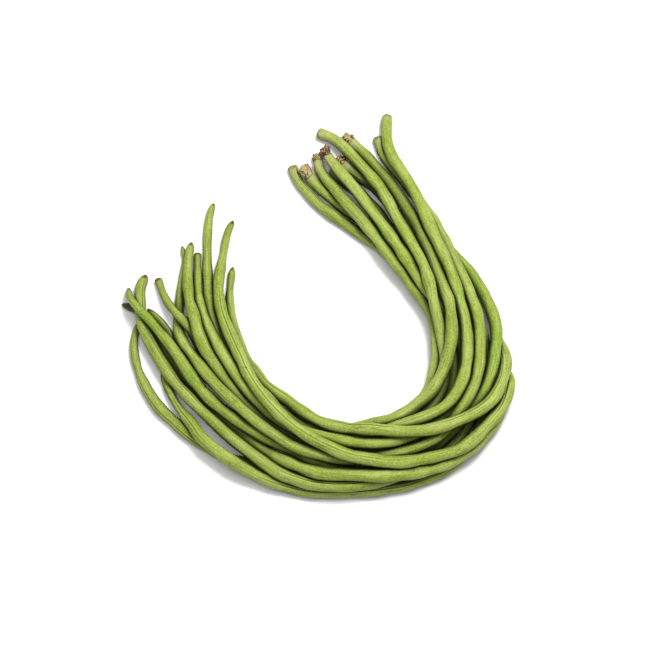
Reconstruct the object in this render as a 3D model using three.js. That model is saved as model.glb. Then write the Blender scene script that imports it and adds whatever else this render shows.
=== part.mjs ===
// A loose bunch of yardlong beans, bent into a wide U and lying on a flat surface.
// Millimetres, +Z up. The origin is at the middle of the footprint, on the surface.

import * as THREE from "three";

// Pods
const POD_RADIUS = 5.1;          // half the thickness of an average pod
const POD_SIDES = 8;             // facets round a pod
const POD_NODES = 46;            // points along each settled centreline
const SEED_PITCH = 28;           // from one seed bulge to the next
const SEED_SWELL = 0.035;        // how far a seed raises the skin, as a share of the radius
const STEM_NECK_LENGTH = 50;     // the stretch over which a pod narrows towards its stem end
const STEM_NECK = 0.93;          // its radius there, as a share of the pod's
const TIP_LENGTH = 85;           // the stretch over which a pod narrows towards its tip
const END_ROUNDING = 2.8;        // depth of the rounded end faces
const ROUNDING_RINGS = [0.25, 1];  // where an end face has its rings of corners, as shares of that depth
const ROUNDING_MARGIN = 1.5;     // the next ring comes after this share of it

// Dry calyx remnants on some stem ends
const CALYX_LENGTH = 6;
const CALYX_HOLLOWS = 2;         // round its edge
const CALYX_SIDES = 8;
const CALYX_RAGGEDNESS = 0.16;   // how deep the hollows are, as a share of its radius
const CALYX_PROFILE = [[0.04, 0.62], [0.3, 0.9], [0.65, 0.96], [1, 0.9]];  // shares of length and radius

// Lying on each other
const CLEARANCE = 0.35;          // between any two pods
const LAYER_HEIGHT = 8.2;        // from one layer of pods to the next, before settling
const SETTLE_STEPS = 520;
const WEIGHT_STEPS = 400;        // of those, the steps in which the pods still sink
const SINK = 0.06;               // how far a free pod sinks in one step
const PLAN_HOLD = 0.05;          // pull back to the planned route in one step
const STIFFNESS = 0.4;           // pull towards a straight run in one step
const SIDEWAYS_GIVE = 0.4;       // how readily touching pods part sideways rather than upwards
const FLAT_SPOT = 0.12;          // skin lower than this is pressed flat on the surface
const PAIR_REFRESH = 20;         // steps until neighbours are looked for again
const NEARBY = 4;                // pods this many radii apart count as neighbours
const LEAST_PUSH = 0.2;          // keeps the push between two pods side by side within reason

const POD_GREEN = { color: 0xa3c050, roughness: 0.5, metalness: 0 };
const CALYX_BROWN = { color: 0x8a6a3c, roughness: 0.9, metalness: 0 };

// girth: a pod's thickness as a share of the average; tip: its radius at the tip as a share of its own.
// route: from its stem end to its tip, x, y, and the layer of the bunch that it runs in there.
const PODS = [
  { girth: 0.98, tip: 0.62, calyx: false, route: [
    [58, 161.5, 1], [57, 147, 1], [58, 132, 1.2], [64, 119, 1.4], [72, 107, 1.6], [80, 93, 1.8],
    [88, 75, 2], [95, 58, 2], [103, 40, 2], [110, 22, 2], [115, 4, 2], [120, -15, 2], [122, -35, 2],
    [121, -56, 2], [115, -75, 1.8], [106, -88, 1.4], [92, -99, 1.1], [72, -106, 1], [50, -111, 1],
    [27, -111, 1], [5, -106, 1], [-13, -98, 1], [-30, -86, 1], [-45, -72, 1], [-58, -58, 1], [-71, -41, 1],
    [-80, -25, 1], [-86, -9, 1], [-89, 11, 0.8], [-90, 33, 0.6], [-90, 58, 0.4], [-88.5, 76, 0.3],
    [-86.5, 87, 0.2]] },
  { girth: 0.95, tip: 0.5, calyx: false, route: [
    [0.5, 146.5, 1.6], [9, 143.5, 1.6], [18, 136, 1.7], [29, 124, 1.8], [41, 110, 1.8], [52, 96, 1.8],
    [60, 81, 1.8], [68, 65, 1.8], [76, 50, 1.8], [84, 34, 1.8], [90, 16, 1.8], [95, -2, 1.8],
    [100, -22, 1.6], [103, -42, 1.2], [103, -58, 0.8], [99, -75, 0.6], [91, -88, 0.6], [74, -99, 0.6],
    [50, -107, 0.4], [26, -110, 0.2], [2, -107, 0], [-24, -98, 0], [-48, -84, 0], [-70, -68, 0],
    [-88, -57, 0.3], [-101, -43, 0.6], [-114, -28, 0.8], [-125, -14, 0.9], [-132, -8, 0.9],
    [-139, -2, 0.8]] },
  { girth: 0.98, tip: 0.6, calyx: false, route: [
    [144, -26, 0.6], [149, -36, 1.1], [151.5, -46, 1.4], [152, -55, 1.7], [150, -66, 1.9], [144, -79, 2],
    [136, -88, 2], [125, -95, 2], [113, -101, 2], [100, -106, 2], [86, -109, 2], [70, -110, 1.9],
    [52, -109, 1.8], [35, -108, 1.6], [17, -106, 1.4], [0, -100, 1.2], [-16, -91, 1], [-32, -78, 1],
    [-45, -65, 0.8], [-55, -51, 0.6], [-61, -40, 0.4], [-66.5, -23, 0.3], [-70.5, -7, 0.2], [-71.5, 9, 0.1],
    [-70.5, 21, 0], [-69, 33, 0]] },
  { girth: 1.0, tip: 0.6, calyx: false, route: [
    [150.5, -46, 0], [153, -55, 0.2], [154.5, -66, 0.7], [153, -79, 1.2], [147, -92, 1.6], [137, -104, 1.9],
    [127, -115, 2], [114, -124, 2], [100, -128, 2], [81, -132, 2], [62, -134, 2], [44, -132, 2],
    [27, -129, 2], [10, -122, 2], [-9, -112, 2], [-30, -96, 2], [-45, -79, 2], [-55, -64, 2],
    [-64, -43, 1.8], [-72, -24, 1.6], [-78, -7, 1.4], [-81, 9, 1.2], [-80, 26, 1], [-77, 42, 0.8],
    [-74.5, 58, 0.6], [-70, 72.5, 0.4]] },
  { girth: 1.03, tip: 0.6, calyx: false, route: [
    [146, -62, 0], [147, -70, 0], [145, -86, 0], [139, -100, 0.3], [131, -112, 0.7], [120, -123, 1],
    [106, -132, 1.2], [88, -139, 1.3], [70, -143, 1.3], [50, -145, 1.3], [34, -144, 1.3], [17, -143, 1.2],
    [-2, -140, 1.2], [-25, -130, 1.2], [-45, -117, 1.2], [-66, -101, 1.2], [-88, -82, 1.2],
    [-104, -63, 1.2], [-121, -41, 1.1], [-133, -20, 0.8], [-140, -11, 0.4], [-147, -4, 0], [-154, 0, 0],
    [-160, 1, 0]] },
  { girth: 1.02, tip: 0.5, calyx: false, route: [
    [97, 61, 0], [105.5, 51.5, 0.3], [114, 41, 0.8], [124.5, 29.5, 1.3], [134.5, 13, 1.6], [142.5, -5, 1.8],
    [147, -23, 1.9], [146, -44, 1.9], [141, -64, 1.8], [134, -76, 1.3], [124, -88, 0.7], [113, -102, 0.4],
    [101, -115, 0.2], [84, -126, 0], [66, -134, 0], [48, -138, 0], [30, -138, 0], [10, -135, 0.2],
    [-10, -129, 0.6], [-30, -120, 1], [-50, -108, 1.4], [-70, -94, 1.8], [-88, -79, 2], [-98, -67, 2],
    [-108, -52, 2], [-121, -33, 2], [-131, -21, 1.9], [-139, -12, 1.8], [-147, -3, 1.7], [-152, 6, 1.6],
    [-155, 15, 1.4]] },
  { girth: 0.95, tip: 0.6, calyx: false, route: [
    [52, 144, 0.4], [55, 132, 0.4], [62.5, 119, 0.6], [72, 106, 0.8], [81, 92, 1], [90, 79, 1.1],
    [98, 62, 1.3], [106, 47, 1.4], [113, 32, 1.6], [121, 16, 1.7], [127, 0, 1.8], [131, -15, 1.8],
    [132, -33, 1.8], [131, -53, 1.7], [126, -71, 1.3], [119, -83, 1], [109, -96, 0.9], [98, -107, 0.9],
    [88, -113, 0.9], [76, -119, 0.9], [60, -125, 0.9], [42, -129, 0.9], [20, -130, 1], [0, -127, 1],
    [-20, -119, 1], [-42, -104, 1], [-62, -86, 0.8], [-77, -71, 0.6], [-91, -53, 0.3], [-102, -35, 0.2],
    [-108, -18, 0.1], [-110, 0, 0], [-109, 20, 0], [-107, 36, 0], [-109, 51, 0]] },
  { girth: 1.0, tip: 0.66, calyx: true, route: [
    [19, 128, 1], [23.5, 118.5, 0.9], [31, 112, 0.8], [41, 106.5, 0.7], [51, 98, 0.7], [61, 85, 0.7],
    [72, 65, 0.7], [86, 45, 0.8], [100, 26, 0.9], [114, 8, 0.9], [125, -8, 1], [131, -24, 1], [133, -42, 1],
    [131, -60, 0.9], [124, -76, 0.6], [113, -90, 0.3], [101, -101, 0.1], [86, -110, 0], [70, -115, 0.1],
    [50, -119, 0.5], [26, -121, 1], [4, -118, 1], [-16, -113, 1.1], [-34, -102, 1.3], [-50, -90, 1.5],
    [-63, -77, 1.8], [-74, -62, 1.9], [-84, -47, 1.9], [-94, -31, 1.8], [-100, -16, 1.6], [-104, 0, 1.4],
    [-106, 18, 1.2], [-106, 36, 0.9], [-104, 53, 0.6]] },
  { girth: 0.98, tip: 0.62, calyx: true, route: [
    [4.5, 131.5, 1.6], [11.5, 120, 1.6], [21, 108, 1.6], [32, 95, 1.6], [41, 82, 1.6], [53, 65, 1.6],
    [64, 49, 1.5], [75, 33, 1.3], [86, 17, 1], [99, 0, 0.6], [112, -18, 0.2], [120, -38, 0], [122, -60, 0],
    [117, -81, 0.2], [104, -97, 0.6], [84, -110, 1], [60, -116, 1], [34, -117, 1], [8, -113, 1.1],
    [-14, -107, 1.1], [-30, -98, 1.3], [-45, -85, 1.6], [-59, -70, 1.8], [-71, -54, 1.8], [-81, -39, 1.8],
    [-89, -22, 1.6], [-94, -5, 1.4], [-97, 12, 1.1], [-98, 28, 0.8], [-98, 45, 0.5]] },
  { girth: 1.0, tip: 0.84, calyx: false, route: [
    [14, 119, 0.2], [20, 112, 0.2], [27.5, 104.5, 0.3], [36, 96, 0.4], [46, 84, 0.4], [56, 71, 0.3],
    [66, 56, 0.2], [79, 38, 0.1], [94, 18, 0], [109, -4, 0], [122, -26, 0], [130, -48, 0], [132, -70, 0],
    [128, -90, 0], [118, -108, 0], [103, -122, 0.2], [86, -132, 0.4], [70, -140, 0.5], [48, -148, 0.6],
    [24, -151, 0.8], [6, -150, 0.9], [-10, -146, 1], [-30, -137, 1.1], [-50, -125, 1.2], [-72, -108, 1.3],
    [-88, -93, 1.3], [-106, -75, 1.3], [-119.5, -59, 1.3], [-132, -39, 1.3], [-140, -23, 1.2],
    [-145.5, -7, 1.1], [-145.5, 9, 1], [-144, 19, 0.9], [-142, 26.5, 0.8]] },
  { girth: 0.96, tip: 0.62, calyx: true, route: [
    [0.5, 129.5, 1.4], [1, 119.5, 1.4], [5, 109, 1.4], [13, 98, 1.4], [22, 87, 1.4], [34, 74, 1.3],
    [46, 60, 1.2], [58, 45, 1.1], [71, 29, 1.1], [84, 12, 1], [94, -5, 0.9], [99, -24, 0.8],
    [100, -42, 0.6], [98, -57, 0.4], [91, -75, 0.1], [78, -91, 0], [57, -103, 0], [31, -108, 0],
    [6, -104, 0], [-20, -95, 0], [-44, -81, 0], [-67, -71, 0], [-81, -58, 0.2], [-94, -43, 0.5],
    [-105, -29, 0.8], [-114, -15, 0.8], [-121, -3, 0.6], [-126.5, 9, 0.4], [-130, 23.5, 0.2]] },
  { girth: 1.04, tip: 0.6, calyx: false, route: [
    [132, -18, 0], [137, -36, 0], [141, -60, 0], [140, -80, 0], [136, -98, 0], [128, -113, 0],
    [119, -124, 0], [105, -134, 0], [89, -142, 0], [72, -148, 0], [53, -151, 0.1], [34, -153, 0.2],
    [16, -154, 0.2], [-2, -154, 0.2], [-20, -151, 0.3], [-42, -144, 0.4], [-61, -135, 0.4],
    [-80, -123, 0.4], [-94, -111, 0.4], [-103, -98, 0.3], [-112, -86, 0.2], [-118.5, -74, 0.1],
    [-122.5, -64, 0], [-125.5, -54, 0]] },
  { girth: 0.99, tip: 0.62, calyx: true, route: [
    [21, 144, 1.6], [31, 135, 1.7], [42, 124, 1.8], [53, 111, 1.8], [63, 97, 1.8], [71, 85, 1.8],
    [80, 71, 1.8], [87, 55, 1.8], [93, 41, 1.8], [98, 25, 1.8], [104, 6, 1.8], [108, -10, 1.9],
    [109, -28, 1.9], [106, -47, 1.9], [101, -62, 1.9], [94, -74, 1.8], [84, -84, 1.6], [71, -95, 1.3],
    [57, -102, 0.9], [42, -105, 0.4], [24, -106, 0.1], [6, -102, 0], [-12, -94, 0], [-26, -84, 0]] },
  { girth: 0.94, tip: 0.62, calyx: true, route: [
    [-12, 115, 0.9], [-5, 106.5, 0.8], [2, 99, 0.7], [10, 91, 0.6], [18, 82, 0.5], [31, 73, 0.3],
    [46, 61, 0], [62, 47, 0], [79, 29, 0], [94, 7, 0], [106, -15, 0], [112, -40, 0], [112, -64, 0],
    [106, -85, 0], [94, -104, 0], [77, -118, 0], [56, -128, 0], [36, -131, 0], [16, -131, 0]] },
  { girth: 0.96, tip: 0.62, calyx: false, route: [
    [-20.5, 118.5, 0.2], [-17, 109.5, 0.2], [-12, 102, 0.1], [-5, 95, 0], [3, 87, 0], [14, 80.5, 0],
    [25, 73, 0], [36, 64.5, 0], [47, 56.5, 0], [59, 47.5, 0], [70, 33, 0], [82, 19, 0], [92, 3, 0],
    [99, -15, 0], [102, -34, 0], [102, -54, 0], [95, -77, 0], [81, -95, 0], [62, -107, 0], [36, -119, 0],
    [6, -130, 0], [-26, -136, 0], [-66, -129, 0], [-86, -119, 0], [-102, -108, 0], [-114, -98, 0],
    [-127, -86, 0], [-138, -70, 0], [-146, -52, 0], [-149, -37, 0], [-148.5, -24, 0], [-146, -14, 0]] },
];

const padded = (number) => String(number).padStart(2, "0");
const smooth = (share) => THREE.MathUtils.smoothstep(share, 0, 1);

// The unsettled centreline: evenly spaced points on a smooth curve through the route.
function plannedNodes(pod) {
  const radius = POD_RADIUS * pod.girth;
  const points = pod.route.map(([x, y, layer]) => new THREE.Vector3(x, y, radius + layer * LAYER_HEIGHT));
  const curve = new THREE.CatmullRomCurve3(points, false, "centripetal");
  return { nodes: curve.getSpacedPoints(POD_NODES - 1), length: curve.getLength() };
}

// Radius at a distance from the stem end, without the rounding of the end faces.
function bodyRadius(strand, distance) {
  const neck = STEM_NECK + (1 - STEM_NECK) * smooth(distance / STEM_NECK_LENGTH);
  const tip = strand.tip + (1 - strand.tip) * smooth((strand.length - distance) / TIP_LENGTH);
  const seeds = 1 + SEED_SWELL * Math.cos((2 * Math.PI * distance) / SEED_PITCH);
  return strand.radius * neck * tip * seeds;
}

function makeStrand(pod) {
  const { nodes, length } = plannedNodes(pod);
  const strand = { nodes, length, radius: POD_RADIUS * pod.girth, tip: pod.tip, calyx: pod.calyx };
  strand.plan = nodes.map((node) => node.clone());
  strand.spacing = length / (POD_NODES - 1);
  strand.radii = nodes.map((_, i) => bodyRadius(strand, i * strand.spacing));
  return strand;
}

// Shares along two segments at which they come closest.
function closestShares(a, b, c, d) {
  const u = new THREE.Vector3().subVectors(b, a);
  const v = new THREE.Vector3().subVectors(d, c);
  const w = new THREE.Vector3().subVectors(a, c);
  const uu = u.dot(u);
  const uv = u.dot(v);
  const vv = v.dot(v);
  const uw = u.dot(w);
  const vw = v.dot(w);
  const spread = uu * vv - uv * uv;
  const parallel = spread < 1e-6 * uu * vv;
  let s = parallel ? 0.5 : THREE.MathUtils.clamp((uv * vw - vv * uw) / spread, 0, 1);
  const t = THREE.MathUtils.clamp((uv * s + vw) / vv, 0, 1);
  s = THREE.MathUtils.clamp((uv * t - uw) / uu, 0, 1);
  return [s, t];
}

// Moves two touching segments apart, upwards more readily than sideways.
function partSegments(first, i, second, j) {
  const [a, b] = [first.nodes[i], first.nodes[i + 1]];
  const [c, d] = [second.nodes[j], second.nodes[j + 1]];
  const [s, t] = closestShares(a, b, c, d);
  const apart = a.clone().lerp(b, s).sub(c.clone().lerp(d, t));
  const distance = Math.max(apart.length(), 1e-4);
  const reach = THREE.MathUtils.lerp(first.radii[i], first.radii[i + 1], s)
    + THREE.MathUtils.lerp(second.radii[j], second.radii[j + 1], t) + CLEARANCE;
  if (distance >= reach) {
    return;
  }
  const normal = apart.divideScalar(distance);
  const push = new THREE.Vector3(normal.x * SIDEWAYS_GIVE, normal.y * SIDEWAYS_GIVE, normal.z);
  const shares = (1 - s) ** 2 + s ** 2 + (1 - t) ** 2 + t ** 2;
  push.multiplyScalar((reach - distance) / Math.max(push.dot(normal), LEAST_PUSH) / shares);
  a.addScaledVector(push, 1 - s);
  b.addScaledVector(push, s);
  c.addScaledVector(push, t - 1);
  d.addScaledVector(push, -t);
}

// Pairs of segments of different pods that lie close enough to meet.
function nearbyPairs(strands) {
  const pairs = [];
  const near = NEARBY * POD_RADIUS;
  strands.forEach((first, p) => strands.slice(p + 1).forEach((second) => {
    for (let i = 0; i < POD_NODES - 1; i += 1) {
      for (let j = 0; j < POD_NODES - 1; j += 1) {
        const dx = first.nodes[i].x + first.nodes[i + 1].x - second.nodes[j].x - second.nodes[j + 1].x;
        const dy = first.nodes[i].y + first.nodes[i + 1].y - second.nodes[j].y - second.nodes[j + 1].y;
        if (Math.hypot(dx, dy) / 2 < near + first.spacing / 2) {
          pairs.push([first, i, second, j]);
        }
      }
    }
  }));
  return pairs;
}

// A pod springs back towards its own planned bend, and sags in a long curve where nothing holds it.
function relax(strand, sink) {
  const before = strand.nodes.map((node) => node.clone());
  const shift = (i) => new THREE.Vector2(before[i].x - strand.plan[i].x, before[i].y - strand.plan[i].y);
  strand.nodes.forEach((node, i) => {
    const inner = i > 0 && i < POD_NODES - 1;
    if (inner) {
      const pull = shift(i - 1).add(shift(i + 1)).multiplyScalar(0.5).sub(shift(i));
      node.x += STIFFNESS * pull.x;
      node.y += STIFFNESS * pull.y;
      node.z += STIFFNESS * ((before[i - 1].z + before[i + 1].z) / 2 - before[i].z);
    }
    node.x += PLAN_HOLD * (strand.plan[i].x - node.x);
    node.y += PLAN_HOLD * (strand.plan[i].y - node.y);
    node.z -= sink;
  });
}

// The lowest facet of a pod that lies on the surface is flat on it.
function standOnSurface(strand) {
  const flatness = Math.cos(Math.PI / POD_SIDES);
  strand.nodes.forEach((node, i) => {
    node.z = Math.max(node.z, strand.radii[i] * flatness);
  });
}

function settle(strands) {
  let pairs = [];
  for (let step = 0; step < SETTLE_STEPS; step += 1) {
    if (step % PAIR_REFRESH === 0) {
      pairs = nearbyPairs(strands);
    }
    const settling = step < WEIGHT_STEPS;
    if (settling) {
      strands.forEach((strand) => relax(strand, SINK));
    }
    pairs.forEach((pair) => partSegments(...pair));
    strands.forEach(standOnSurface);
  }
}

// Direction of the centreline at a node.
function tangentAt(strand, i) {
  const before = strand.nodes[Math.max(i - 1, 0)];
  const after = strand.nodes[Math.min(i + 1, POD_NODES - 1)];
  return new THREE.Vector3().subVectors(after, before).normalize();
}

// Bends a straight body, drawn along +Y from the stem end, onto the settled centreline.
function bendAlong(geometry, strand) {
  const position = geometry.attributes.position;
  const up = new THREE.Vector3();
  const side = new THREE.Vector3();
  for (let v = 0; v < position.count; v += 1) {
    const along = THREE.MathUtils.clamp(position.getY(v) / strand.spacing, 0, POD_NODES - 1);
    const i = Math.min(Math.floor(along), POD_NODES - 2);
    const centre = strand.nodes[i].clone().lerp(strand.nodes[i + 1], along - i);
    const tangent = tangentAt(strand, i).lerp(tangentAt(strand, i + 1), along - i).normalize();
    up.set(0, 0, 1).addScaledVector(tangent, -tangent.z).normalize();
    side.crossVectors(tangent, up);
    centre.addScaledVector(side, position.getX(v)).addScaledVector(up, position.getZ(v));
    position.setXYZ(v, centre.x, centre.y, centre.z < FLAT_SPOT ? 0 : centre.z);
  }
  return geometry;
}

// Distances from the stem end at which a pod has a ring of corners.
function ringDistances(strand, start) {
  const margin = ROUNDING_MARGIN * END_ROUNDING;
  const body = strand.nodes.map((_, i) => i * strand.spacing);
  const free = body.filter((s) => s > start + margin && s < strand.length - margin);
  return [
    ...ROUNDING_RINGS.map((share) => start + share * END_ROUNDING),
    ...free,
    ...ROUNDING_RINGS.map((share) => strand.length - share * END_ROUNDING).reverse(),
  ];
}

function podGeometry(strand) {
  const start = strand.calyx ? CALYX_LENGTH + CLEARANCE : 0;
  const outline = ringDistances(strand, start).map((s) => {
    const depth = Math.min((s - start) / END_ROUNDING, (strand.length - s) / END_ROUNDING, 1);
    return new THREE.Vector2(bodyRadius(strand, s) * Math.sqrt(1 - (1 - depth) ** 2), s);
  });
  const profile = [new THREE.Vector2(0, start), ...outline, new THREE.Vector2(0, strand.length)];
  return bendAlong(new THREE.LatheGeometry(profile, POD_SIDES, Math.PI / POD_SIDES), strand);
}

// A short ragged stub on the stem end of a pod, squashed by hollows that turn along its length.
function calyxGeometry(strand) {
  const base = strand.radius * STEM_NECK;
  const profile = [
    new THREE.Vector2(0, 0),
    ...CALYX_PROFILE.map(([along, width]) => new THREE.Vector2(base * width, along * CALYX_LENGTH)),
    new THREE.Vector2(0, CALYX_LENGTH),
  ];
  const geometry = new THREE.LatheGeometry(profile, CALYX_SIDES, Math.PI / CALYX_SIDES);
  const position = geometry.attributes.position;
  for (let v = 0; v < position.count; v += 1) {
    const angle = Math.atan2(position.getX(v), position.getZ(v));
    const cut = 1 - CALYX_RAGGEDNESS * (0.5 + 0.5 * Math.sin(CALYX_HOLLOWS * angle + position.getY(v)));
    position.setX(v, position.getX(v) * cut);
    position.setZ(v, position.getZ(v) * cut);
  }
  return bendAlong(geometry, strand);
}

function addPiece(group, name, geometry, finish) {
  const mesh = new THREE.Mesh(geometry, new THREE.MeshStandardMaterial(finish));
  mesh.name = name;
  group.add(mesh);
}

function makeBunch() {
  const strands = PODS.map(makeStrand);
  settle(strands);
  const bunch = new THREE.Group();
  strands.forEach((strand, i) => {
    addPiece(bunch, `pod_${padded(i + 1)}`, podGeometry(strand), POD_GREEN);
    if (strand.calyx) {
      addPiece(bunch, `calyx_${padded(i + 1)}`, calyxGeometry(strand), CALYX_BROWN);
    }
  });
  const middle = new THREE.Box3().setFromObject(bunch, true).getCenter(new THREE.Vector3());
  bunch.position.set(-middle.x, -middle.y, 0);
  return bunch;
}

export default makeBunch();
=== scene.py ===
import math
import random

import bpy
import numpy as np
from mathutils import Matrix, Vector, noise


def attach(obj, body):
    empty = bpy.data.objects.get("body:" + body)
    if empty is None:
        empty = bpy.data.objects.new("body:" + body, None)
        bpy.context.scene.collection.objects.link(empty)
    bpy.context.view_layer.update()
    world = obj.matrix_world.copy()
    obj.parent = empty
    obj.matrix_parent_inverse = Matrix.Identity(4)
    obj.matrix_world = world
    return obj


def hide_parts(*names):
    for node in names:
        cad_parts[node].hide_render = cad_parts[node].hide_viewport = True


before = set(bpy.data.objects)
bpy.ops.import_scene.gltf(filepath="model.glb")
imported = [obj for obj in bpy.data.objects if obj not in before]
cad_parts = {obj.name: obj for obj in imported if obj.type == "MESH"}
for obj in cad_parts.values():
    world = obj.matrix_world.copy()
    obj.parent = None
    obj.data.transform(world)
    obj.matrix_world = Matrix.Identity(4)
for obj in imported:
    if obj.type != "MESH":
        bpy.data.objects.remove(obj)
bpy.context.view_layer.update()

MM = 0.001

# The picture: its width, its scale where the camera aims, where the middle of the bunch is seen in it,
# and the camera
PICTURE_WIDTH_PX = 663
METRES_PER_PX = 0.00082
OBJECT_CENTRE_PX = (317.5, 305.6)
CAMERA_DISTANCE = 3.0
CAMERA_ELEVATION = math.radians(78)
SENSOR_MM = 36.0

# The studio. A lamp has its place and width in metres, its power in watts and its colour
LAMPS = {
    "key": ((0.42, 0.55, 1.62), 0.45, 29, (1.0, 0.975, 0.93)),
    "top": ((-0.2, 0.2, 3.4), 3.2, 88, (1.0, 1.0, 1.0)),
}
WORLD_STRENGTH = 0.14
FLOOR_HALF_WIDTH = 4.0
FLOOR_CLOUDS = (30.0, 3.0)        # the clouds of the floor's two tones: how many in a metre, and detail
FLOOR_ROUGHNESS = 0.8
FLOOR_SPECULAR = 0.1

PODS = sorted(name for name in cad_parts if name.startswith("pod_"))
CALYCES = sorted(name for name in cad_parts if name.startswith("calyx_"))
SOLID_SIDES = 8                   # corners round a pod's or a calyx's CAD solid
BODY_RINGS = slice(3, -3)         # a solid pod's rings without those of its rounded ends

# ---------- sizes of the pods ----------

POD_SEED = 1000                   # a pod's number is added to it
RING_STEP = 0.72 * MM             # between the rings of the fine skin
SKIN_INSET = 0.985                # the round skin's radius as a share of the solid's corner radius
LOWEST_SKIN = 0.02 * MM           # no ring of the skin reaches lower

# Where the skin's columns lie round a pod, given in degrees from the suture: closer together beside it
# and on the back ridge
COLUMNS = np.radians(sorted(
    {*range(0, 360, 15), 3, 6, 10, 357, 354, 350, 174, 186}))

# The ends. Where a shape is 0.5 the end is half an ellipse. More is more pointed, and less is blunter
TIP_CAP = 8.0 * MM                # the stretch over which a tip closes
FLAT_TIP_CAP = 2.2 * MM           # the same on the tips that end flat
FLAT_TIPS = ("pod_09", "pod_11")
TIP_SHAPE = 0.62
STEM_CAP = 2.6 * MM               # the stretch over which a stem end closes
STEM_SHAPE = 0.42
CAP_RINGS = 7                     # extra rings on each end
STEM_CAP_RINGED = 0.98            # how far over the stem's cap its extra rings are spread, as a share
NEAREST_RING = 0.02 * MM          # no ring lies nearer to an end of the pod

# How far a tip leans, in millimetres, to the right as one looks towards the tip
TIP_LEAN = {"pod_01": 1.4, "pod_04": 1.2, "pod_05": 0.6, "pod_06": 0.5, "pod_07": -1.2, "pod_08": 0.6,
            "pod_10": 1.8, "pod_11": -0.6}
TIP_LEAN_LENGTH = 14.0 * MM       # the last stretch, which leans

# Where the suture lies at the stem end, in degrees from the pod's right side, with 90 on top
SUTURE_START = {"pod_01": 260, "pod_02": 250, "pod_03": 60, "pod_04": 75, "pod_05": 240, "pod_06": 285,
                "pod_07": 270, "pod_08": 50, "pod_09": 215, "pod_10": 80, "pod_11": 200, "pod_12": 100,
                "pod_13": 280, "pod_14": 150, "pod_15": 125}
TWIST_PER_METRE = 2.2             # radians in a metre, about the fastest that the suture turns

# The relief of the skin
SUTURE_DEPTH = 0.3 * MM
SUTURE_WIDTH = 0.42 * MM
LIP_HEIGHT = 0.11 * MM
LIP_DISTANCE = 2.4 * SUTURE_WIDTH
RIDGE_HEIGHT = 0.08 * MM          # on the back, opposite the suture
RIDGE_WIDTH = 2 * SUTURE_WIDTH
WRINKLE_HEIGHT = 0.11 * MM
WRINKLE_PITCH = 2.5 * MM
WRINKLE_SWING = 2.6               # radians by which the wrinkles come early or late
WRINKLE_BEND = 0.9                # radians by which they bend on their way round the pod
LUMP_HEIGHT = 0.5 * MM
HIGHEST_LUMP = 0.5                # lumps are cut off at this share of that height, and hollows aren't
SEED_LUMP_HEIGHT = 0.16 * MM
SEED_LUMP_SIDES = (1.9, 4.1)      # radians from the pod's right side
RIB_HEIGHT = 0.07 * MM
RIBS = 7                          # faint ribs that run the length of a pod
RIB_SWING = 1.5                   # radians of a rib's wave by which they swing from side to side

# How far apart the random values lie that each of these wanders between, along a pod
LUMP_LENGTH = 11.0 * MM
TWIST_LENGTH = 90 * MM
SEAM_LENGTH = 45 * MM
WRINKLE_SWING_LENGTH = 6 * MM
WRINKLE_FADE_LENGTH = 18 * MM
RIB_SWING_LENGTH = 60 * MM
SEED_LUMP_LENGTH = 9 * MM

# The usual strength of what comes and goes along a pod, how far it goes up and down, and its least
SEAM_FADING = (0.65, 0.9, 0.2)
WRINKLE_FADING = (0.6, 0.6, 0.1)

# About how far the dry brown skin reaches from a tip, in millimetres
WITHERED = {"pod_02": 5.0, "pod_03": 3.0, "pod_04": 4.2, "pod_05": 15.0, "pod_06": 7.0,
            "pod_08": 4.2, "pod_09": 2.8, "pod_10": 4.0, "pod_11": 2.8}
WITHERED_ELSEWHERE = 1.8

PATTERN_SHIFT = 1000              # millimetres at most that the pattern is moved along a pod
FAR_FROM_SUTURE = 9               # millimetres, stored for the two ends' own vertices

# ---------- sizes of the calyces ----------

# The dry calyx remnants: their length beside the CAD stub's, whose root scales their radius; how deep the
# hollow in their end is and how much its rim spreads, as shares of length and radius; how brown they are,
# from about -0.3, cream, to 1; and whether a dry spike is left
CALYX_LOOK = {
    "calyx_08": {"size": 1.0, "hollow": 0.75, "spread": -0.05, "brown": 0.45, "spike": False},
    "calyx_09": {"size": 1.05, "hollow": 0.35, "spread": -0.10, "brown": 0.60, "spike": False},
    "calyx_11": {"size": 1.0, "hollow": 0.40, "spread": -0.20, "brown": -0.05, "spike": False},
    "calyx_13": {"size": 1.05, "hollow": 0.50, "spread": -0.05, "brown": 0.12, "spike": True},
    "calyx_14": {"size": 1.35, "hollow": 0.85, "spread": 0.40, "brown": -0.32, "spike": False},
}
CALYX_SEED = 2000                 # a calyx's number is added to it
LOWEST_CALYX = 0.05 * MM          # no part of one lies lower

# The cup, in shares of the calyx's length and radius
CUP_COLUMNS = 44
WALL_RINGS = 14
HOLLOW_RINGS = 7
RIM_PLACE = 0.86                  # along the calyx
RIM_TEAR = (0.3, 1.7)             # how deep and how fine the rim is torn
FOOT_RADIUS = 0.86
CUP_TAPER = 0.18
CUP_LUMPS = (                     # height, how far their noise runs from foot to rim, and fineness
    (0.34, 2, 1.1),
    (0.16, 7, 2.6),
)
CALYX_WALL = 0.16                 # thickness at the rim
HOLLOW_TAPER = 0.45
NARROWEST = 0.06

# How much browner than a calyx's own brown these are; in the hollow this is painted shade, deeper inside
RIM_BROWN = 0.25
HOLLOW_PAINTED_SHADE = 0.9
SCALE_TIP_BROWN = 0.4

# How brown these are on any calyx; at the bottom of the hollow this is painted shade
FOOT_BROWN = 0.2
HOLLOW_END_PAINTED_SHADE = 1.6
SPIKE_BROWN = 0.25

# The dry scales that lie against a cup and over the pod's end
CALYX_SCALES = 9
SCALE_ROWS = 7
SCALE_COLUMNS = 7
SCALE_THICKNESS = 0.35 * MM
SCALE_SHIFT = 0.3                 # how far one may leave its place in the row, as a share of the spacing

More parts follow.
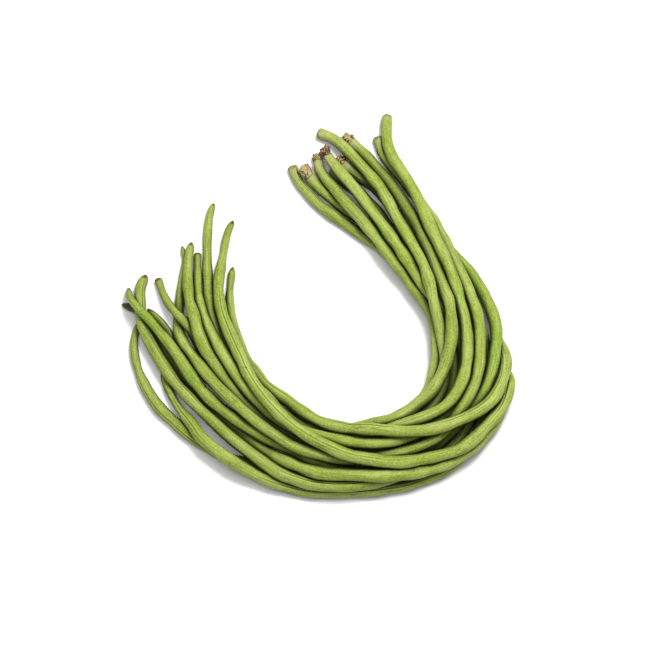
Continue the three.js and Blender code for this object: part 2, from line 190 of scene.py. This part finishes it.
# Drawn in this order: two shares of the calyx's length, an angle in radians and a share of its radius
SCALE_SPANS = {"start": (-0.5, 0.3), "reach": (0.4, 0.85), "half_width": (0.25, 0.6), "lift": (-0.1, 0.25)}
SCALE_TORN_TO = 0.62              # the least share of a scale's reach that is left
SCALE_BROWN_SPAN = (-0.25, 0.3)
SCALE_NARROWING = 0.45            # at its end
SCALE_FOOT_RADIUS = 0.99
SCALE_RIPPLE = 0.06

# The spike, in shares of the calyx's length and radius where nothing else is said
SPIKE_LENGTH = 4.5 * MM
SPIKE_ROOT = 0.7                  # along the calyx
SPIKE_ROOT_RADIUS = 0.6
SPIKE_THICKNESS = 0.13
SPIKE_TAPER = 0.75
SPIKE_LEAN_SPAN = (0.2, 0.5)
SPIKE_WIDTH = 0.25                # radians to each side
SPIKE_POINT = 1.03                # where its point is, as a share of its length
SPIKE_RINGS = 8
SPIKE_COLUMNS = 7

# ---------- colours and patterns ----------

PALE = (0.41, 0.485, 0.12, 1)
FRESH = (0.225, 0.315, 0.021, 1)
VIVID = (0.185, 0.32, 0.014, 1)
DEEP = (0.075, 0.13, 0.005, 1)
# painted shade: the near-black green that the skin is darkened to between the pods
PAINTED_SHADE_GREEN = (0.012, 0.024, 0.001, 1)
OLIVE = (0.20, 0.225, 0.036, 1)
CREAM = (0.39, 0.39, 0.17, 1)
PAPERY = (0.42, 0.35, 0.18, 1)
SCAR = (0.095, 0.06, 0.02, 1)
DRY_TIP = (0.055, 0.045, 0.014, 1)
DRY_PALE = (0.33, 0.21, 0.08, 1)
DRY_RED = (0.11, 0.048, 0.02, 1)
DRY_DARK = (0.02, 0.01, 0.005, 1)
FLOOR_TONES = ((0.88, 0.88, 0.875, 1), (0.90, 0.90, 0.90, 1))

# The noises in a pod's skin: how fine each is in a millimetre, across the pod both ways and along it;
# how many levels of detail it has; and how strong the finer levels are
SKIN_NOISES = {
    "patches": ((0.11, 0.11, 0.03), 4.0, 0.55),
    "streaks": ((1.1, 1.1, 0.03), 3.0, 0.55),
    "fine_streaks": ((1.4, 1.4, 0.05), 2.0, 0.55),
    "speckle": ((0.8, 0.8, 0.95), 3.0, 0.8),
    "creases": ((0.22, 0.22, 0.75), 2.0, 0.6),
    "grain": ((3.0, 3.0, 5.0), 2.0, 0.55),
    "scars": ((0.28, 0.28, 0.16), 1.0, 0.55),
    "torn_edge": ((0.5, 0.5, 0.5), 2.0, 0.55),
}

# The layers of colour over the fresh green: what each follows, the value it starts from and the value
# where it is full, how strong it then is, and its colour. The tint is a pod's own value from -1 to 1
SKIN_LAYERS = (
    ("patches", 0.32, 0.66, 1.0, PALE),
    ("tint", 0.0, 1.0, 0.35, OLIVE),
    ("tint", 0.0, -1.0, 0.45, VIVID),
    ("streaks", 0.42, 0.7, 0.62, DEEP),
    ("fine_streaks", 0.5, 0.7, 0.5, PALE),
    ("speckle", 0.5, 0.64, 0.75, PALE),
    ("speckle", 0.49, 0.34, 0.45, DEEP),
    ("creases", 0.52, 0.68, 0.24, DEEP),
)

# The finest relief, from the lowest layer up: what it follows, how far it rises and how strong it is
SKIN_BUMPS = (
    ("grain", 0.12 * MM, 0.5),
    ("speckle", 0.5 * MM, 0.9),
    ("creases", 0.5 * MM, 0.7),
)
POD_ROUGHNESS = (0.48, 0.64)
POD_SPECULAR = 0.22
ROUGHNESS_NOISE = (0.3, 0.7)      # the span of a noise over which the roughness changes

# Beside the suture: where a colour starts and where it is full, in millimetres from it
LIP_INSIDE = (0.5, 0.9)
LIP_OUTSIDE = (2.0, 1.2)
LIP_STRENGTH = 0.4
LINE_REACH = (0.65, 0.2)
LINE_STRENGTH = 0.75

# Painted shade down between the pods, from an ambient occlusion node: how far the shader looks round,
# the openness from where the skin's colour is darkened, the one where it is darkest, and how strong that
# is
PAINTED_SHADE_REACH = 16 * MM
PAINTED_SHADE_OPENNESS = (0.97, 0.24)
PAINTED_SHADE_STRENGTH = 0.96

# A few small brown scars: where in their noise one starts and where it is full
SCAR_NOISE = (0.76, 0.81)
SCAR_STRENGTH = 0.75

# At the ends: where a colour starts and where it is full, in millimetres from the end, and how far the
# torn edge of these colours moves to each side over a span of its noise
TORN_NOISE = (0.3, 0.7)
TORN_STEM_EDGE = 1.6
TORN_TIP_EDGE = 1.2
COLLAR_REACH = (15.0, 3.0)
COLLAR_STRENGTHS = (0.45, 0.6)    # on a clean stem end and under a dry calyx
STEM_RIM_REACH = (3.6, 1.6)
STEM_FACE_REACH = (-0.6, 0.8)
STEM_FACE_SHARES = (0.35, 1.0)    # the end's face is less brown than its rim
STEM_RIM_STRENGTH = 0.7
TIP_OLIVE_REACH = (26.0, 5.0)
TIP_OLIVE_STRENGTH = 0.45
TIP_DRY_SHARE = (1.3, 0.6)        # in shares of the pod's withered length instead
TIP_DRY_STRENGTH = 0.9

# A dry calyx: its noises, with how fine they are in a metre; how far the blotches change its brown over
# a span of their noise; and from which to which brown each colour comes in
BLOTCH = (560.0, 4.0, 0.7)
FIBRE = (1500.0, 3.0)
BLOTCH_NOISE = (0.36, 0.64)
BLOTCH_BROWN = (-0.55, 0.65)
CALYX_LAYERS = ((0.1, 0.5, DRY_PALE), (0.5, 0.85, DRY_RED), (0.9, 1.3, DRY_DARK))
CALYX_ROUGHNESS = (0.75, 0.95)
FIBRE_BUMP = (0.3 * MM, 0.6)


# ---------- reading the frame ----------

def merged_mesh(node):
    """A node's corners, each once, and which corners are joined by an edge."""
    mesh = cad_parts[node].data
    corners = np.empty(len(mesh.vertices) * 3)
    mesh.vertices.foreach_get("co", corners)
    corners = corners.reshape(-1, 3)
    rounded = np.round(corners / (0.01 * MM))
    _, first, owner = np.unique(rounded, axis=0, return_index=True, return_inverse=True)
    owner = owner.reshape(-1)
    joined = [set() for _ in first]
    for edge in mesh.edges:
        a, b = (int(owner[v]) for v in edge.vertices)
        if a != b:
            joined[a].add(b)
            joined[b].add(a)
    return corners[first], joined


def poles_of(joined):
    """The two corners in which the sides of a lathe-like body meet, one on each end."""
    return [v for v, near in enumerate(joined) if len(near) == SOLID_SIDES]


def rings_from(pole, joined):
    """The corners in rings, counted from one end of a lathe-like body."""
    rings, seen = [[pole]], {pole}
    while rings[-1]:
        ring = sorted({n for v in rings[-1] for n in joined[v]} - seen)
        seen.update(ring)
        rings.append(ring)
    return rings[:-1]


def centreline(node):
    """The centres and radii of a pod's rings, with its two ends, from the thicker end on."""
    corners, joined = merged_mesh(node)
    rings = rings_from(poles_of(joined)[0], joined)
    centres = np.array([corners[ring].mean(axis=0) for ring in rings])
    radii = np.array([np.linalg.norm(corners[ring] - c, axis=1).mean() for ring, c in zip(rings, centres)])
    if radii[BODY_RINGS][0] < radii[BODY_RINGS][-1]:
        centres, radii = centres[::-1], radii[::-1]
    return centres, radii


# ---------- curves ----------

def along_line(points):
    """Distance of each point of a line from its start."""
    return np.concatenate([[0], np.cumsum(np.linalg.norm(np.diff(points, axis=0), axis=1))])


def smooth_through(knots, values, at):
    """A smooth curve through values given at knots, read at the places asked for."""
    slopes = np.gradient(values, knots, axis=0)
    i = np.clip(np.searchsorted(knots, at) - 1, 0, len(knots) - 2)
    width = knots[i + 1] - knots[i]
    t = (at - knots[i]) / width
    if values.ndim > 1:
        t, width = t[:, None], width[:, None]
    start, end = values[i], values[i + 1]
    return ((2 * t**3 - 3 * t**2 + 1) * start + (t**3 - 2 * t**2 + t) * width * slopes[i]
            + (3 * t**2 - 2 * t**3) * end + (t**3 - t**2) * width * slopes[i + 1])


def sides_along(path):
    """Side and up directions at each point of a path that never runs straight up."""
    tangent = np.gradient(path, axis=0)
    tangent /= np.linalg.norm(tangent, axis=1)[:, None]
    side = np.cross(tangent, [0.0, 0.0, 1.0])
    side /= np.linalg.norm(side, axis=1)[:, None]
    return side, np.cross(side, tangent)


# ---------- meshes ----------

def new_object(name, vertices, faces, material):
    mesh = bpy.data.meshes.new(name)
    mesh.from_pydata(vertices.tolist(), [], faces)
    mesh.materials.append(material)
    mesh.polygons.foreach_set("use_smooth", [True] * len(mesh.polygons))
    mesh.update()
    piece = bpy.data.objects.new(name, mesh)
    bpy.context.scene.collection.objects.link(piece)
    return piece


def store(piece, name, kind, values):
    """Keep a value for each vertex, for the piece's material to read."""
    attribute = piece.data.attributes.new(name, kind, "POINT")
    key = "vector" if kind == "FLOAT_VECTOR" else "value"
    attribute.data.foreach_set(key, np.asarray(values, dtype=np.float32).ravel())


def tube_faces(rings, columns):
    """Quads between the rings of a tube, and a fan on each end to a pole vertex after the last ring."""
    faces = []
    for r in range(rings - 1):
        here, there = r * columns, (r + 1) * columns
        for c in range(columns):
            n = (c + 1) % columns
            faces.append((here + c, here + n, there + n, there + c))
    first_pole, last_pole, last = rings * columns, rings * columns + 1, (rings - 1) * columns
    for c in range(columns):
        n = (c + 1) % columns
        faces.append((first_pole, n, c))
        faces.append((last_pole, last + c, last + n))
    return faces


class PodSkin:
    """A pod's fine skin, on the same centreline as its solid."""

    def __init__(self, node):
        self.node = node
        self.rng = np.random.default_rng(POD_SEED + int(node[-2:]))
        self.centres, self.radii = CENTRELINES[node]
        self.knots = along_line(self.centres)
        self.length = self.knots[-1]
        self.tip_cap = FLAT_TIP_CAP if node in FLAT_TIPS else TIP_CAP
        self.places = self.ring_places()
        self.to_tip = self.length - self.places

    def ring_places(self):
        """Each ring's distance from the stem end. They lie closer together on the ends."""
        closing = 1 - np.cos(np.linspace(0, math.pi / 2, CAP_RINGS + 2)[1:-1])
        stem = STEM_CAP * closing * STEM_CAP_RINGED + NEAREST_RING
        body = np.linspace(STEM_CAP, self.length - self.tip_cap, int(self.length / RING_STEP))
        tip = self.length - self.tip_cap * closing[::-1]
        places = np.concatenate([stem, body, tip])
        return np.unique(np.clip(places, NEAREST_RING, self.length - NEAREST_RING))

    def wander(self, pitch):
        """A smooth random curve along the pod, from about -1 to 1, with a new value every pitch."""
        knots = np.arange(-2, self.length / pitch + 3) * pitch
        return smooth_through(knots, self.rng.uniform(-1, 1, len(knots)), self.places)

    def fading(self, pitch, usual, swing, least):
        """A random strength from the least to 1, which comes and goes along the pod."""
        return np.clip(usual + swing * self.wander(pitch), least, 1)

    def path(self):
        """The rings' centres, off the solid's centreline where the tip leans, and their directions."""
        path = smooth_through(self.knots, self.centres, self.places)
        side, up = sides_along(path)
        lean = np.clip(1 - self.to_tip / TIP_LEAN_LENGTH, 0, 1) ** 2
        path += (TIP_LEAN.get(self.node, 0) * MM * lean)[:, None] * side
        return path, side, up

    def body_radius(self):
        """The rings' radii with soft lumps, but without the rounding of the ends."""
        radius = SKIN_INSET * np.interp(self.places, self.knots[BODY_RINGS], self.radii[BODY_RINGS])
        return radius + LUMP_HEIGHT * np.minimum(self.wander(LUMP_LENGTH), HIGHEST_LUMP)

    def rounding(self):
        """The share of the radius that is left where the ends close."""
        tip = np.clip(self.to_tip / self.tip_cap, 0, 1)
        stem = np.clip(self.places / STEM_CAP, 0, 1)
        return (1 - (1 - tip) ** 2) ** TIP_SHAPE * (1 - (1 - stem) ** 2) ** STEM_SHAPE

    def suture_angle(self):
        """Where the suture lies at each ring, in radians from the pod's right side."""
        twist = TWIST_PER_METRE * self.wander(TWIST_LENGTH)
        return math.radians(SUTURE_START[self.node]) + np.cumsum(twist * np.gradient(self.places))

    def relief(self, angle, from_suture, from_ridge, seam):
        """The suture's groove between two lips, a ridge on the back, cross wrinkles, ribs and seeds."""
        relief = -SUTURE_DEPTH * seam[:, None] * np.exp(-(from_suture / SUTURE_WIDTH) ** 2)
        relief += LIP_HEIGHT * np.exp(-((np.abs(from_suture) - LIP_DISTANCE) / SUTURE_WIDTH) ** 2)
        relief += RIDGE_HEIGHT * np.exp(-(from_ridge / RIDGE_WIDTH) ** 2)
        swing = (self.wander(WRINKLE_SWING_LENGTH) * WRINKLE_SWING)[:, None]
        strength = self.fading(WRINKLE_FADE_LENGTH, *WRINKLE_FADING)
        wave = np.sin(2 * math.pi * self.places[:, None] / WRINKLE_PITCH + swing
                      + WRINKLE_BEND * np.sin(angle * 2 + swing))
        relief += WRINKLE_HEIGHT * strength[:, None] * wave
        relief += RIB_HEIGHT * np.cos(RIBS * angle + RIB_SWING * self.wander(RIB_SWING_LENGTH)[:, None])
        for turned in SEED_LUMP_SIDES:
            swell = self.wander(SEED_LUMP_LENGTH)
            relief += SEED_LUMP_HEIGHT * swell[:, None] * np.cos(angle - turned)
        return relief

    def build(self, material):
        path, side, up = self.path()
        radius = self.body_radius()[:, None]
        rounding = self.rounding()[:, None]
        angle = COLUMNS[None, :] + self.suture_angle()[:, None]
        turned = (COLUMNS + math.pi) % (2 * math.pi) - math.pi
        from_suture = turned[None, :] * radius
        from_ridge = (np.abs(turned)[None, :] - math.pi) * radius
        seam = self.fading(SEAM_LENGTH, *SEAM_FADING)
        out = radius * rounding + self.relief(angle, from_suture, from_ridge, seam) * rounding ** 2

        rings = (path[:, None, :] + (out * np.cos(angle))[..., None] * side[:, None, :]
                 + (out * np.sin(angle))[..., None] * up[:, None, :])
        rings[..., 2] = np.maximum(rings[..., 2], LOWEST_SKIN)
        ends = smooth_through(self.knots, self.centres, np.array([0.0, self.length]))
        vertices = np.vstack([rings.reshape(-1, 3), ends])
        skin = new_object(f"{self.node}_skin", vertices, tube_faces(*angle.shape), material)
        self.mark(skin, radius, from_suture, seam)
        return skin

    def mark(self, skin, radius, from_suture, seam):
        """Store what the material reads, with lengths in millimetres."""
        tint = self.rng.uniform(-1, 1)
        full = self.length / MM
        along = np.broadcast_to(self.places[:, None], from_suture.shape)
        places = np.stack([radius * np.cos(COLUMNS), radius * np.sin(COLUMNS), along], axis=-1)
        places = np.vstack([places.reshape(-1, 3) / MM, [[0, 0, 0], [0, 0, full]]])
        store(skin, "seam", "FLOAT", self.spread(seam, 0, 0))
        store(skin, "skin", "FLOAT_VECTOR", places + [0, 0, PATTERN_SHIFT * tint])
        store(skin, "suture", "FLOAT", np.append(from_suture.ravel() / MM, [FAR_FROM_SUTURE] * 2))
        store(skin, "from_stem", "FLOAT", self.spread(self.places / MM, 0, full))
        store(skin, "from_tip", "FLOAT", self.spread(self.to_tip / MM, full, 0))
        whole = {"tint": tint, "dry": float(f"calyx_{self.node[-2:]}" in CALYCES),
                 "withered": WITHERED.get(self.node, WITHERED_ELSEWHERE)}
        for name, value in whole.items():
            store(skin, name, "FLOAT", np.full(len(places), value))

    def spread(self, of_rings, at_stem, at_tip):
        """Each ring's value for all its vertices, and then those of the two ends."""
        return np.append(np.repeat(of_rings, len(COLUMNS)), [at_stem, at_tip])


class Calyx:
    """A dry calyx remnant in the place of its CAD stub: a ragged cup with scales against it."""

    def __init__(self, node):
        self.node = node
        self.rng = random.Random(CALYX_SEED + int(node[-2:]))
        self.look = CALYX_LOOK[node]
        corners, joined = merged_mesh(node)
        pod_end = CENTRELINES[f"pod_{node[-2:]}"][0][0]
        near, far = sorted(poles_of(joined), key=lambda v: np.linalg.norm(corners[v] - pod_end))
        self.foot = corners[near]
        axis = corners[far] - self.foot
        stub_height = np.linalg.norm(axis)
        self.axis = axis / stub_height
        self.height = stub_height * self.look["size"]
        side = np.cross(self.axis, [0.0, 0.0, 1.0])
        self.side = side / np.linalg.norm(side)
        self.up = np.cross(self.side, self.axis)
        stub_girth = max(np.linalg.norm(np.cross(corner - self.foot, self.axis)) for corner in corners)
        self.girth = stub_girth * math.sqrt(self.look["size"])
        self.vertices, self.faces, self.brown = [], [], []

    def add(self, along, around, out, brown):
        point = self.foot + self.axis * along
        point = point + out * (math.cos(around) * self.side + math.sin(around) * self.up)
        point[2] = max(point[2], LOWEST_CALYX)
        self.vertices.append(point)
        self.brown.append(brown)

    def join_rings(self, first, rings, columns):
        """The faces of a closed tube whose rings, and then two poles, start at the vertex first."""
        self.faces += [tuple(first + i for i in face) for face in tube_faces(rings, columns)]

    def ragged(self, around, along, fineness):
        """A random value of about -1 to 1 that is the same all round a closed ring."""
        place = Vector((math.cos(around) * fineness, math.sin(around) * fineness,
                        along * fineness + int(self.node[-2:])))
        return noise.turbulence(place, 3, False)

    def cup(self):
        """The outer wall from the pod to a torn rim, and back down into a hollow darkened inwards by
        painted shade.
        """
        tear, tear_fineness = RIM_TEAR
        turns = [2 * math.pi * c / CUP_COLUMNS for c in range(CUP_COLUMNS)]
        rim = [RIM_PLACE + tear * self.ragged(around, 0, tear_fineness) for around in turns]
        first = len(self.vertices)
        rings = WALL_RINGS + HOLLOW_RINGS
        for k in range(rings):
            inside = max(0, k - WALL_RINGS + 1) / HOLLOW_RINGS
            share = min(k / (WALL_RINGS - 1), 1.0)
            spread = FOOT_RADIUS - CUP_TAPER * share + self.look["spread"] * share ** 2
            wall = CALYX_WALL * (inside > 0) + HOLLOW_TAPER * inside ** 2
            # Painted shade: the hollow's walls grow browner, to near-black, the deeper they go
            brown = self.look["brown"] + RIM_BROWN * share + HOLLOW_PAINTED_SHADE * inside
            for around, edge in zip(turns, rim):
                lump = sum(height * self.ragged(around, run * share, fineness)
                           for height, run, fineness in CUP_LUMPS)
                out = self.girth * max(spread + lump * (1 - inside) - wall, NARROWEST)
                reach = edge * (1 - self.look["hollow"] * inside)
                self.add(self.height * reach * share, around, out, brown)
        self.join_rings(first, rings, CUP_COLUMNS)
        hollow_end = RIM_PLACE * (1 - self.look["hollow"])
        self.add(0.0, 0.0, 0.0, FOOT_BROWN)
        # Painted shade: the bottom of the hollow is near-black
        self.add(self.height * hollow_end, 0.0, 0.0, HOLLOW_END_PAINTED_SHADE)

    def scale(self, middle, start, reach, half_width, lift):
        """A short dry scale that lies against the cup, with a torn end."""
        base = len(self.vertices)
        torn = [self.rng.uniform(SCALE_TORN_TO, 1.0) for _ in range(SCALE_COLUMNS)]
        brown = self.look["brown"] + self.rng.uniform(*SCALE_BROWN_SPAN)
        for underside in (0, 1):
            for r in range(SCALE_ROWS):
                share = r / (SCALE_ROWS - 1)
                for c in range(SCALE_COLUMNS):
                    spot = c / (SCALE_COLUMNS - 1) * 2 - 1
                    narrowed = half_width * (1 - SCALE_NARROWING * share ** 2)
                    width = narrowed * (0.7 + 0.3 * math.sqrt(1 - 0.8 * spot ** 2))
                    rounded_end = 1 - 0.25 * spot ** 2
                    along = self.height * (start + reach * share * torn[c] * rounded_end)
                    ripple = SCALE_RIPPLE * math.sin(7 * share + 5 * spot + middle)
                    lifted = SCALE_FOOT_RADIUS - 0.1 * start + lift * share ** 2 + ripple * share
                    out = self.girth * lifted - underside * SCALE_THICKNESS
                    self.add(along, middle + spot * width, out, brown + SCALE_TIP_BROWN * share)
        self.join_scale(base)

    def join_scale(self, base):
        """The faces of a scale's two sides and of its thin edge."""
        rows, across = SCALE_ROWS, SCALE_COLUMNS
        layer = rows * across
        for r in range(rows - 1):
            for c in range(across - 1):
                a = base + r * across + c
                self.faces.append((a, a + 1, a + across + 1, a + across))
                self.faces.append((layer + a, layer + a + across, layer + a + across + 1, layer + a + 1))
        rim = ([base + c for c in range(across)]
               + [base + r * across + across - 1 for r in range(1, rows)]
               + [base + (rows - 1) * across + c for c in range(across - 2, -1, -1)]
               + [base + r * across for r in range(rows - 2, 0, -1)])
        for a, b in zip(rim, rim[1:] + rim[:1]):
            self.faces.append((b, a, a + layer, b + layer))

    def spike(self):
        """A thin dry tooth that stands out from the rim."""
        lean = self.rng.uniform(*SPIKE_LEAN_SPAN)
        first = len(self.vertices)
        root = SPIKE_ROOT * self.height
        for k in range(SPIKE_RINGS):
            share = k / (SPIKE_RINGS - 1)
            thick = self.girth * SPIKE_THICKNESS * (1 - SPIKE_TAPER * share)
            middle = self.girth * (SPIKE_ROOT_RADIUS + lean * share)
            for c in range(SPIKE_COLUMNS):
                turn = 2 * math.pi * c / SPIKE_COLUMNS
                around = math.pi + SPIKE_WIDTH * math.sin(turn) * (1 - share)
                self.add(root + SPIKE_LENGTH * share, around, middle + thick * math.cos(turn), SPIKE_BROWN)
        self.join_rings(first, SPIKE_RINGS, SPIKE_COLUMNS)
        self.add(root, math.pi, self.girth * SPIKE_ROOT_RADIUS, SPIKE_BROWN)
        point = self.girth * (SPIKE_ROOT_RADIUS + lean)
        self.add(root + SPIKE_LENGTH * SPIKE_POINT, math.pi, point, SPIKE_BROWN)

    def build(self, material):
        self.cup()
        for k in range(CALYX_SCALES):
            middle = 2 * math.pi * (k + self.rng.uniform(-SCALE_SHIFT, SCALE_SHIFT)) / CALYX_SCALES
            drawn = {key: self.rng.uniform(*span) for key, span in SCALE_SPANS.items()}
            self.scale(middle, **drawn)
        if self.look["spike"]:
            self.spike()
        piece = new_object(f"{self.node}_dry", np.array(self.vertices), self.faces, material)
        store(piece, "brown", "FLOAT", self.brown)
        return piece


# ---------- materials ----------

class Nodes:
    """A short way to write a material's nodes."""

    def __init__(self, name):
        self.material = bpy.data.materials.new(name)
        self.material.use_nodes = True
        self.tree = self.material.node_tree
        self.shader = self.tree.nodes["Principled BSDF"]

    def add(self, kind, inputs=(), **settings):
        node = self.tree.nodes.new(kind)
        for key, value in settings.items():
            setattr(node, key, value)
        for key, value in dict(inputs).items():
            self.put(node.inputs[key], value)
        return node

    def put(self, socket, value):
        """Link an input to another node's output, or set it to a constant."""
        if isinstance(value, bpy.types.NodeSocket):
            self.tree.links.new(value, socket)
        else:
            socket.default_value = value

    def attribute(self, name, output="Fac"):
        return self.add("ShaderNodeAttribute", attribute_name=name).outputs[output]

    def object_place(self):
        return self.add("ShaderNodeTexCoord").outputs["Object"]

    def maths(self, operation, a, b=0.0):
        return self.add("ShaderNodeMath", {0: a, 1: b}, operation=operation).outputs[0]

    def times(self, a, b):
        return self.maths("MULTIPLY", a, b)

    def remap(self, value, low, high, to_low=0.0, to_high=1.0):
        """The value's way from low to high, eased at both ends and told as one from to_low to to_high."""
        settings = {"Value": value, "From Min": low, "From Max": high, "To Min": to_low, "To Max": to_high}
        return self.add("ShaderNodeMapRange", settings, interpolation_type="SMOOTHSTEP").outputs["Result"]

    def stretch(self, vector, scale):
        return self.add("ShaderNodeMapping", {"Vector": vector, "Scale": scale}).outputs["Vector"]

    def noise(self, vector, scale, detail, roughness=0.55):
        settings = {"Vector": vector, "Scale": scale, "Detail": detail, "Roughness": roughness}
        return self.add("ShaderNodeTexNoise", settings).outputs["Fac"]

    def openness(self, reach):
        return self.add("ShaderNodeAmbientOcclusion", {"Distance": reach}, samples=8).outputs["AO"]

    def mix(self, factor, a, b):
        node = self.add("ShaderNodeMix", data_type="RGBA")
        self.put(node.inputs["Factor"], factor)
        self.put(node.inputs["A"], a)
        self.put(node.inputs["B"], b)
        return node.outputs["Result"]

    def bump(self, height, distance, strength, under=None):
        inputs = {"Height": height, "Distance": distance, "Strength": strength}
        if under is not None:
            inputs["Normal"] = under
        return self.add("ShaderNodeBump", inputs).outputs["Normal"]

    def finish(self, colour, roughness):
        self.put(self.shader.inputs["Base Color"], colour)
        self.put(self.shader.inputs["Roughness"], roughness)
        return self.material


def suture_colours(n, colour):
    """Pale lips beside the suture and a dark line in it, as strong as the seam is there."""
    distance = n.maths("ABSOLUTE", n.attribute("suture"))
    seam = n.attribute("seam")
    lips = n.times(n.remap(distance, *LIP_INSIDE), n.remap(distance, *LIP_OUTSIDE))
    colour = n.mix(n.times(lips, n.times(seam, LIP_STRENGTH)), colour, PALE)
    line = n.times(n.remap(distance, *LINE_REACH, 0.0, LINE_STRENGTH), seam)
    return n.mix(line, colour, DEEP)


def end_colours(n, colour, torn_edge):
    """A pale collar and a faint brown rim on the stem end, and an olive tip with a dry point."""
    stem = n.maths("ADD", n.attribute("from_stem"),
                   n.remap(torn_edge, *TORN_NOISE, -TORN_STEM_EDGE, TORN_STEM_EDGE))
    tip = n.maths("ADD", n.attribute("from_tip"),
                  n.remap(torn_edge, *TORN_NOISE, -TORN_TIP_EDGE, TORN_TIP_EDGE))
    collar_strength = n.remap(n.attribute("dry"), 0.0, 1.0, *COLLAR_STRENGTHS)
    colour = n.mix(n.times(n.remap(stem, *COLLAR_REACH), collar_strength), colour, CREAM)
    rim = n.times(n.remap(stem, *STEM_RIM_REACH), n.remap(stem, *STEM_FACE_REACH, *STEM_FACE_SHARES))
    colour = n.mix(n.times(rim, STEM_RIM_STRENGTH), colour, SCAR)
    colour = n.mix(n.remap(tip, *TIP_OLIVE_REACH, 0.0, TIP_OLIVE_STRENGTH), colour, OLIVE)
    dry_share = n.maths("DIVIDE", tip, n.attribute("withered"))
    return n.mix(n.remap(dry_share, *TIP_DRY_SHARE, 0.0, TIP_DRY_STRENGTH), colour, DRY_TIP)


def pod_material():
    n = Nodes("pod_green")
    skin = n.attribute("skin", "Vector")
    values = {"tint": n.attribute("tint")}
    for name, (scale, detail, roughness) in SKIN_NOISES.items():
        values[name] = n.noise(n.stretch(skin, scale), 1.0, detail, roughness)

    colour = FRESH
    for followed, start, full, strength, layer in SKIN_LAYERS:
        colour = n.mix(n.remap(values[followed], start, full, 0.0, strength), colour, layer)
    colour = suture_colours(n, colour)
    # Painted shade: the colour goes towards near-black green where other pods and the floor close the skin
    # in
    painted_shade = n.remap(n.openness(PAINTED_SHADE_REACH), *PAINTED_SHADE_OPENNESS, 0.0, PAINTED_SHADE_STRENGTH)
    colour = n.mix(painted_shade, colour, PAINTED_SHADE_GREEN)
    colour = n.mix(n.remap(values["scars"], *SCAR_NOISE, 0.0, SCAR_STRENGTH), colour, SCAR)
    colour = end_colours(n, colour, values["torn_edge"])

    normal = None
    for followed, distance, strength in SKIN_BUMPS:
        normal = n.bump(values[followed], distance, strength, normal)
    n.put(n.shader.inputs["Normal"], normal)
    n.shader.inputs["Specular IOR Level"].default_value = POD_SPECULAR
    return n.finish(colour, n.remap(values["speckle"], *ROUGHNESS_NOISE, *POD_ROUGHNESS))


def calyx_material():
    n = Nodes("calyx_brown")
    place = n.object_place()
    blotch = n.noise(place, *BLOTCH)
    # The brown value is the calyx's own dry brown and, in its hollow, painted shade
    brown = n.maths("ADD", n.attribute("brown"), n.remap(blotch, *BLOTCH_NOISE, *BLOTCH_BROWN))
    colour = PAPERY
    for start, full, layer in CALYX_LAYERS:
        colour = n.mix(n.remap(brown, start, full), colour, layer)
    n.put(n.shader.inputs["Normal"], n.bump(n.noise(place, *FIBRE), *FIBRE_BUMP))
    return n.finish(colour, n.remap(blotch, *ROUGHNESS_NOISE, *CALYX_ROUGHNESS))


def floor_material():
    n = Nodes("floor_white")
    n.shader.inputs["Specular IOR Level"].default_value = FLOOR_SPECULAR
    clouds = n.noise(n.object_place(), *FLOOR_CLOUDS)
    return n.finish(n.mix(clouds, *FLOOR_TONES), FLOOR_ROUGHNESS)


# ---------- camera, light and floor ----------

def place_object(name, data, place, looks_along):
    """Put a camera or a lamp in its place, turned to look along a direction."""
    piece = bpy.data.objects.new(name, data)
    bpy.context.scene.collection.objects.link(piece)
    piece.location = place
    piece.rotation_mode = "QUATERNION"
    piece.rotation_quaternion = looks_along.to_track_quat("-Z", "Y")
    return piece


def add_camera():
    data = bpy.data.cameras.new("camera")
    data.sensor_width = SENSOR_MM
    data.lens = data.sensor_width * CAMERA_DISTANCE / (PICTURE_WIDTH_PX * METRES_PER_PX)
    back = Vector((0, -math.cos(CAMERA_ELEVATION), math.sin(CAMERA_ELEVATION)))
    up = Vector((0, math.sin(CAMERA_ELEVATION), math.cos(CAMERA_ELEVATION)))

    # The camera aims to the right of the bunch's middle and below it
    right_px = PICTURE_WIDTH_PX / 2 - OBJECT_CENTRE_PX[0]
    down_px = PICTURE_WIDTH_PX / 2 - OBJECT_CENTRE_PX[1]
    aim = Vector((right_px * METRES_PER_PX, 0, 0)) - up * down_px * METRES_PER_PX
    bpy.context.scene.camera = place_object("camera", data, aim + back * CAMERA_DISTANCE, -back)


def add_lamp(name, place, width, watts, colour):
    """An area lamp that looks at the middle of the bunch."""
    data = bpy.data.lights.new(name, "AREA")
    data.size = width
    data.energy = watts
    data.color = colour
    place_object(name, data, place, -Vector(place))


def add_studio():
    for name, lamp in LAMPS.items():
        add_lamp(name, *lamp)
    world = bpy.data.worlds.new("studio")
    world.use_nodes = True
    background = world.node_tree.nodes["Background"]
    background.inputs["Color"].default_value = (1, 1, 1, 1)
    background.inputs["Strength"].default_value = WORLD_STRENGTH
    bpy.context.scene.world = world
    bpy.context.scene.view_settings.view_transform = "Standard"
    half = FLOOR_HALF_WIDTH
    corners = np.array([[-half, -half, 0], [half, -half, 0], [half, half, 0], [-half, half, 0]])
    floor = new_object("floor", corners, [(0, 1, 2, 3)], floor_material())


# ---------- the bunch ----------

def dress(piece, node):
    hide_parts(node)
    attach(piece, "root")


CENTRELINES = {pod: centreline(pod) for pod in PODS}

add_camera()
add_studio()
green, brown = pod_material(), calyx_material()
for pod in PODS:
    dress(PodSkin(pod).build(green), pod)
for calyx in CALYCES:
    dress(Calyx(calyx).build(brown), calyx)
